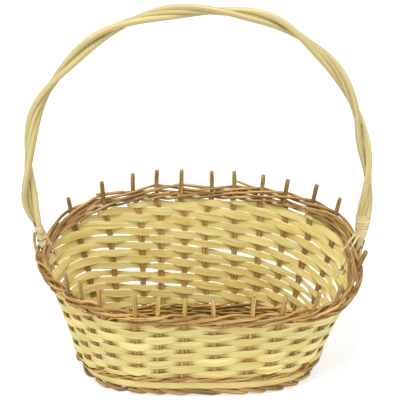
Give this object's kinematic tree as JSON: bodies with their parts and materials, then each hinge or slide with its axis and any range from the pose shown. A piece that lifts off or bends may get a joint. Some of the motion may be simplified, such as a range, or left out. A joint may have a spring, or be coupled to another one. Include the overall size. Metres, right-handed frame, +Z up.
{
  "type": "gift basket",
  "caption": "Oval woven willow gift basket with a high back, a low front, pale chip weaving on brown uprights and a fixed twisted hoop handle.",
  "frame": {"origin": "on the floor under the middle of the basket's bounding box", "axes": "+X along the length to the right, +Y to the high back, +Z up"},
  "size_m": [0.425, 0.2296, 0.4566],
  "materials": {
    "chip_strip": "split wood strip, satin, fine grain",
    "brown_willow": "willow rod with its bark, satin",
    "peeled_willow": "peeled willow rod, satin",
    "willow_skein": "flat split willow skein, satin"
  },
  "bodies": {
    "root": {"base_band": "chip_strip", "base_mat": "chip_strip", "base_stick_1": "brown_willow", "base_stick_2": "brown_willow", "base_stick_3": "brown_willow", "foot_rod_1": "brown_willow", "foot_rod_2": "brown_willow", "handle_binding_left": "willow_skein", "handle_binding_right": "willow_skein", "handle_rod_back": "peeled_willow", "handle_rod_front": "peeled_willow", "handle_rod_thin": "peeled_willow", "rim_rod_bottom": "brown_willow", "rim_rod_lower": "brown_willow", "rim_rod_top": "brown_willow", "rim_rod_upper": "brown_willow", "stake_back_1": "brown_willow", "stake_back_10": "brown_willow", "stake_back_11": "brown_willow", "stake_back_2": "brown_willow", "stake_back_3": "brown_willow", "stake_back_4": "brown_willow", "stake_back_5": "brown_willow", "stake_back_6": "brown_willow", "stake_back_7": "brown_willow", "stake_back_8": "brown_willow", "stake_back_9": "brown_willow", "stake_front_1": "brown_willow", "stake_front_10": "brown_willow", "stake_front_11": "brown_willow", "stake_front_2": "brown_willow", "stake_front_3": "brown_willow", "stake_front_4": "brown_willow", "stake_front_5": "brown_willow", "stake_front_6": "brown_willow", "stake_front_7": "brown_willow", "stake_front_8": "brown_willow", "stake_front_9": "brown_willow", "stake_left_1": "brown_willow", "stake_left_2": "brown_willow", "stake_right_1": "brown_willow", "stake_right_2": "brown_willow", "upsett_rod_lower": "brown_willow", "upsett_rod_upper": "brown_willow", "weave_strip_01": "chip_strip", "weave_strip_02": "chip_strip", "weave_strip_03": "chip_strip", "weave_strip_04": "chip_strip", "weave_strip_05": "chip_strip", "weave_strip_06": "chip_strip", "weave_strip_07": "chip_strip", "weave_strip_08": "chip_strip", "weave_strip_09": "chip_strip", "weave_strip_10": "chip_strip", "weave_strip_11": "chip_strip", "weave_strip_12": "chip_strip", "weave_strip_13": "chip_strip", "weave_strip_14": "chip_strip", "weave_strip_15": "chip_strip"}
  },
  "joints": []
}
